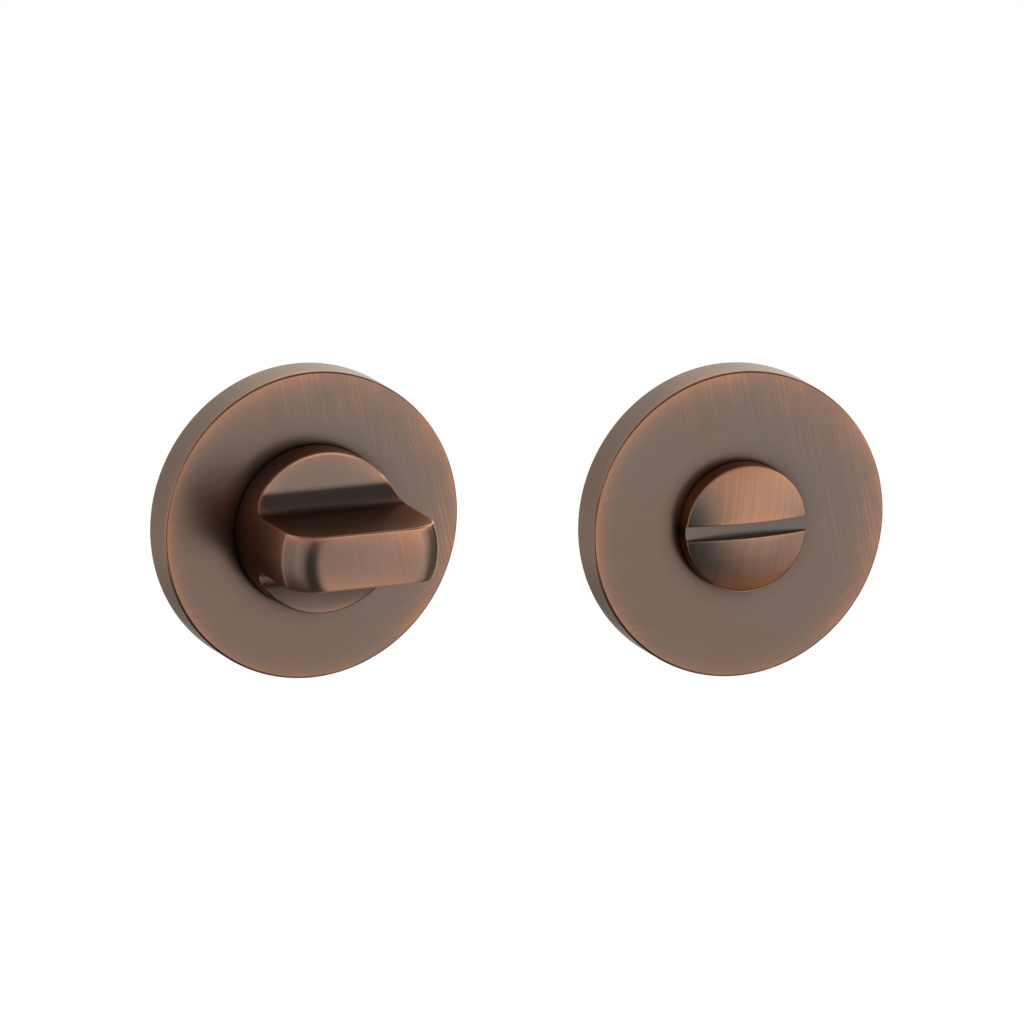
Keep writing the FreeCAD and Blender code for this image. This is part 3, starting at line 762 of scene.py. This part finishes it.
def disc_skin():
    """Two half domes in rings, the slot's rolled edges, walls and floor, and the foot behind."""
    skin = Skin()
    section = dome_section()
    start = SLOT_HALF + SLOT_EDGE
    for side in (1, -1):
        rows, right_end = [], []
        for out, height in section:
            first = math.asin(min(start / out, 1.0))
            row = [
                (out * math.cos(a), side * out * math.sin(a), height + ROSE_DEPTH)
                for a in spread(first, math.pi - first, HALF_DOME_STEPS)
            ]
            rows.append(skin.row(row))
            right_end.append((out * math.cos(first), height))
        skin.sheet(rows)
        line = list(reversed(right_end)) + [(-right, height) for right, height in right_end[1:]]
        walls = []
        for turn in spread(0, math.pi / 2, SLOT_EDGE_STEPS):
            up = start - SLOT_EDGE * math.sin(turn)
            drop = SLOT_EDGE * (1 - math.cos(turn))
            row = [
                (right, side * up, max(height - drop, SLOT_FLOOR) + ROSE_DEPTH)
                for right, height in line
            ]
            walls.append(skin.row(row))
        walls.append(skin.row([(r, side * SLOT_HALF, SLOT_FLOOR + ROSE_DEPTH) for r, _ in line]))
        walls.append(skin.row([(r, 0.0, SLOT_FLOOR + ROSE_DEPTH) for r, _ in line]))
        skin.sheet(walls)

    first = math.asin(start / DISC_RADIUS)
    steps = spread(first, math.pi - first, HALF_DOME_STEPS)
    angles = steps + [math.pi] + [a + math.pi for a in steps] + [2 * math.pi]
    level = ROSE_DEPTH + SLOT_FLOOR
    rim = [(DISC_RADIUS * math.cos(a), DISC_RADIUS * math.sin(a), level) for a in angles]
    ring = skin.row(rim)
    neck(skin, ring, angles, DISC_RADIUS, RELEASE_TAIL, RELEASE_SOCKET_HALF, RELEASE_SOCKET_END)

    # The slot's floor runs out to the foot's outline at both ends
    for side in (1, -1):
        right = side * math.sqrt(DISC_RADIUS**2 - start**2)
        ups = (start, SLOT_HALF, 0.0, -SLOT_HALF, -start)
        edge = [(right, up, level) for up in ups] + [(side * DISC_RADIUS, 0.0, level)]
        skin.faces.append(tuple(skin.row(edge)))
    return skin


FAR_FROM_EDGES = 9.0
DISC_SIDE_TOUCH = 1.7
UPPER_WEAR_AND_HIGHLIGHT = 0.97
LOWER_TOUCH = 0.47
RUBBED_BELOW = 5.2


def disc_wear_and_highlight(point):
    """The slot isn't reached. Each half of the dome is rubbed most near its middle, and the lower
    half also along its rim. The upper half's greater rubbing is partly a painted highlight."""
    right, up = point.x / MM - RELEASE_MIDDLE[0], abs(point.z / MM - RELEASE_MIDDLE[1])
    height = -point.y / MM - ROSE_DEPTH
    if up < SLOT_HALF + 0.01:
        return FAR_FROM_EDGES, -1.0
    out = math.hypot(right, up)
    rim = math.hypot(DISC_RADIUS - out, max(EDGE_HEIGHT - height, 0.0))
    if out > DISC_RADIUS - 0.02:
        return rim, DISC_SIDE_TOUCH
    # The upper half is lighter than the lower: rubbing with a painted highlight
    if point.z / MM > RELEASE_MIDDLE[1]:
        touch = UPPER_WEAR_AND_HIGHLIGHT - 0.012 * (right - 1.0) ** 2 - 0.01 * up
    else:
        touch = LOWER_TOUCH - 0.009 * (right - 1.5) ** 2
        touch += max(up - RUBBED_BELOW, 0.0) ** 2 * (0.11 - 0.004 * right)
    return min(rim, (up - SLOT_HALF) * 3.0), touch


disc_mesh = disc_skin().mesh("coin_disc", RELEASE_MIDDLE)
SLOT_PATINA = (0.156, 0.130, 0.119)
DISC_EDGING = 0.22
disc_copper = antique_copper(
    "disc_copper",
    RELEASE_MIDDLE,
    SLOT_PATINA,
    COPPER,
    DISC_EDGING,
    brushing=0.45,
    steep_angle=80.0,
    steepness=2.0,
)
disc_mesh.materials.append(disc_copper)
disc = finished("coin_disc", disc_mesh, disc_wear_and_highlight)
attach(disc, "release")
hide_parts("release_coin_disc")


# Base plates. Each is moulded in black nylon with pockets, ribs and a boss round each fixing, and
# the thumb turn's has two spigots that locate it in the door. The bushes in them are acetal.

BLACK = (0.014, 0.014, 0.015)
NATURAL_WHITE = (0.62, 0.60, 0.55)
GRAIN_DEPTH = 0.02 * MM


def moulded(name, colour, roughness, grain):
    """Plastic with paler clouds and the fine grain of its mould."""
    finish = Finish(name)
    place = finish.place()
    cloud = finish.noise(place, (6.0, 6.0, 6.0), 3.0)
    texture = finish.noise(place, (grain,) * 3, 2.0, shift=11.0)
    pale = tuple(min(c * 1.6 + 0.01, 1.0) for c in colour)
    shade = finish.mix(cloud.step(0.35, 0.75) * 0.6, colour, pale)
    worn = roughness + cloud * 0.12
    return finish.surface(shade, worn, texture, GRAIN_DEPTH, Metallic=0.0, IOR=1.5)


black_nylon = moulded("black_nylon", BLACK, roughness=0.42, grain=0.28)
white_acetal = moulded("white_acetal", NATURAL_WHITE, roughness=0.34, grain=0.4)
for half in ("turn", "release"):
    nodes[f"{half}_base_plate"].material_slots[0].material = black_nylon
    nodes[f"{half}_bush"].material_slots[0].material = white_acetal


# Springs, rings and pins. The circlips, spring washers, snap rings, stop pins and the spindle's
# pin are hardened steel, oiled dark. The plain washers, the spindle and the posts are mild steel,
# plated with zinc.

OILED = (0.17, 0.165, 0.16)
OILED_BROWN = (0.11, 0.095, 0.085)
ZINC = (0.62, 0.63, 0.64)
ZINC_YELLOW = (0.52, 0.50, 0.44)
MARK_WIDTH = 0.12
MARK_ANGLE = 35.0
MARK_DEPTH = 0.01 * MM


def steel(name, colour, tint, roughness, drawn):
    """Steel that shows the marks of drawing or stamping, and faint stains."""
    finish = Finish(name)
    place = finish.place()
    marks = finish.noise(place, (drawn, drawn, MARK_WIDTH), 3.0, math.radians(MARK_ANGLE))
    stain = finish.noise(place, (4.0, 4.0, 4.0), 3.0, shift=17.0)
    shade = finish.mix(stain.step(0.35, 0.7), colour, tint)
    worn = roughness + marks * 0.15 + stain * 0.1
    return finish.surface(shade, worn, marks, MARK_DEPTH, Metallic=1.0)


spring_steel = steel("spring_steel", OILED, OILED_BROWN, roughness=0.24, drawn=5.0)
zinc_plate = steel("zinc_plate", ZINC, ZINC_YELLOW, roughness=0.22, drawn=9.0)
for half in ("turn", "release"):
    for piece in ("stop_pin", "spring_washer", "circlip", "cover_ring"):
        nodes[f"{half}_{piece}"].material_slots[0].material = spring_steel
    nodes[f"{half}_plain_washer"].material_slots[0].material = zinc_plate
nodes["turn_spindle_pin"].material_slots[0].material = spring_steel
for piece in ("turn_spindle", "release_post_left", "release_post_right"):
    nodes[piece].material_slots[0].material = zinc_plate


# The studio. A pale floor lies well below the lock, which hangs clear of it. Round both is a tent
# of light that is dark where the photographer stands, and there are three soft lamps.

FLOOR_LEVEL = -0.30
FLOOR_CORNERS = [(-3.0, -0.28), (3.0, -0.28), (3.0, 4.0), (-3.0, 4.0)]
MOTTLE = (60.0, 60.0, 60.0)
PALE = (0.86, 0.86, 0.86)
PALER = (0.88, 0.88, 0.88)
WHITE = (1.0, 1.0, 1.0, 1.0)
SHOWN_WHITE = 1.06

floor_mesh = bpy.data.meshes.new("floor")
floor_mesh.from_pydata([(x, y, FLOOR_LEVEL) for x, y in FLOOR_CORNERS], [], [(0, 1, 2, 3)])
floor = bpy.data.objects.new("floor", floor_mesh)
bpy.context.collection.objects.link(floor)
paper = Finish("floor_paper")
paper_place = paper.place()
seen = paper.add("ShaderNodeLightPath", output="Is Camera Ray")
mottle = paper.noise(paper_place, MOTTLE, 2.0)
paper_colour = paper.mix(mottle, PALE, PALER)
matt = paper.add("ShaderNodeBsdfDiffuse", {}, {"Color": paper_colour})
white = paper.add("ShaderNodeEmission", {}, {"Color": WHITE, "Strength": SHOWN_WHITE})
# A tenth of what the camera sees is the floor's own light, with the shadow on it
shown = paper.add("ShaderNodeMixShader", {}, {0: seen * 0.9, 1: matt, 2: white})
paper.add_output(shown)
floor.data.materials.append(paper.material)
# The metal mirrors the tent below it, not the floor, as in the photo it mirrors the dark there
floor.visible_glossy = False

world = bpy.data.worlds.new("light_tent")
bpy.context.scene.world = world
world.use_nodes = True
tent = Finish("light_tent", world.node_tree)
towards = tent.add("ShaderNodeTexCoord", output="Generated")
right, back, up = (
    tent.add("ShaderNodeSeparateXYZ", {}, {"Vector": towards}, output=axis) for axis in "XYZ"
)


def near(direction, inner, outer):
    """1 around a direction, falling to 0 between two distances from it."""
    aim = Vector(direction).normalized()
    sockets = {0: towards, 1: aim}
    distance = tent.add("ShaderNodeVectorMath", {"operation": "DISTANCE"}, sockets, output="Value")
    return 1 - distance.step(inner, outer)


BAND_LIGHT = 0.97
TENT_LIGHT = 0.08

# A bright band of light level with the lock, dimmer at the left, with dark places where the
# photographer stands, where the tent is open at the right, and low in front
in_front = (back * -1.0).step(-0.2, 0.3)
band = (up + in_front * 0.08).step(-0.58, -0.28) * (1 - up.step(0.14, 0.50) * in_front)
band = band * (1 - up.step(0.45, 0.85))
photographer = near((-0.33, -0.90, -0.28), 0.29, 0.50)
right_gap = near((0.97, -0.06, -0.24), 0.22, 0.50)
low_gap = near((0.02, -0.84, -0.54), 0.15, 0.42)
left_side = 1 - right.step(-0.5, 0.2)
light = band * (BAND_LIGHT - left_side * 0.30) * (1 - photographer * 0.97)
light = light * (1 - right_gap * 0.8) * (1 - low_gap * 0.6)

# The rest of the tent glows faintly, and more so overhead. It has three brighter places: in front
# at the right, below, and behind
light = light + TENT_LIGHT + up.step(0.2, 0.7) * 0.16
light = light + near((0.60, -0.80, 0.02), 0.2, 0.5) * 0.15
light = light + near((0.37, -0.10, -0.92), 0.2, 0.45) * 0.8
light = light + near((0.37, 0.90, 0.24), 0.2, 0.5) * 0.4

camera_ray = tent.add("ShaderNodeLightPath", output="Is Camera Ray")
strength = camera_ray + (1 - camera_ray) * light
background = tent.add("ShaderNodeBackground", {}, {"Color": WHITE, "Strength": strength})
tent.add_output(background, "ShaderNodeOutputWorld")


LAMPS_AIM = Vector((0.04, 0.0, 0.0))


def softbox(name, at, size, power):
    """A soft lamp that shines on the middle of the lock."""
    lamp = bpy.data.lights.new(name, "AREA")
    lamp.shape = "RECTANGLE"
    lamp.size, lamp.size_y = size
    lamp.energy = power
    holder = bpy.data.objects.new(name, lamp)
    bpy.context.collection.objects.link(holder)
    holder.location = at
    holder.rotation_mode = "QUATERNION"
    holder.rotation_quaternion = (LAMPS_AIM - Vector(at)).to_track_quat("-Z", "Y")
    return holder


softbox("key_light", (0.95, -0.55, 0.15), (0.8, 0.8), 0.37)
softbox("left_light", (-0.95, -0.35, -0.05), (0.35, 0.7), 0.2)
# This one lights the floor, and the metal doesn't mirror it
softbox("top_light", (-0.75, 0.25, 0.85), (0.6, 0.6), 6.0).visible_glossy = False

# The camera looks from the left and a little above, from far off, as a long lens does. It aims so
# that the middle of the left rose's face comes where the photo has it.

AZIMUTH = math.radians(-22.2)
ELEVATION = math.radians(14.0)
DISTANCE = 6.0
FRAME_WIDTH = 0.169
FRAME_PIXELS = 1024
LEFT_FACE = Vector((0.0, -ROSE_DEPTH * MM, 0.0))
LEFT_FACE_AT = (311.8, 525.3)
lens = bpy.data.cameras.new("camera")
lens.sensor_width = 36.0
lens.lens = lens.sensor_width * DISTANCE / FRAME_WIDTH
lens.clip_end = 50.0
camera = bpy.data.objects.new("camera", lens)
bpy.context.collection.objects.link(camera)
bpy.context.scene.camera = camera
away = Vector(
    (
        math.sin(AZIMUTH) * math.cos(ELEVATION),
        -math.cos(AZIMUTH) * math.cos(ELEVATION),
        math.sin(ELEVATION),
    )
)
camera_right = Vector((math.cos(AZIMUTH), math.sin(AZIMUTH), 0.0))
camera_up = away.cross(camera_right)
pixel = FRAME_WIDTH / FRAME_PIXELS
middle_of_view = (
    LEFT_FACE
    - camera_right * ((LEFT_FACE_AT[0] - FRAME_PIXELS / 2) * pixel)
    + camera_up * ((LEFT_FACE_AT[1] - FRAME_PIXELS / 2) * pixel)
)
camera.location = middle_of_view + away * DISTANCE
camera.rotation_mode = "QUATERNION"
camera.rotation_quaternion = away.to_track_quat("Z", "Y")

bpy.context.scene.view_settings.view_transform = "Standard"
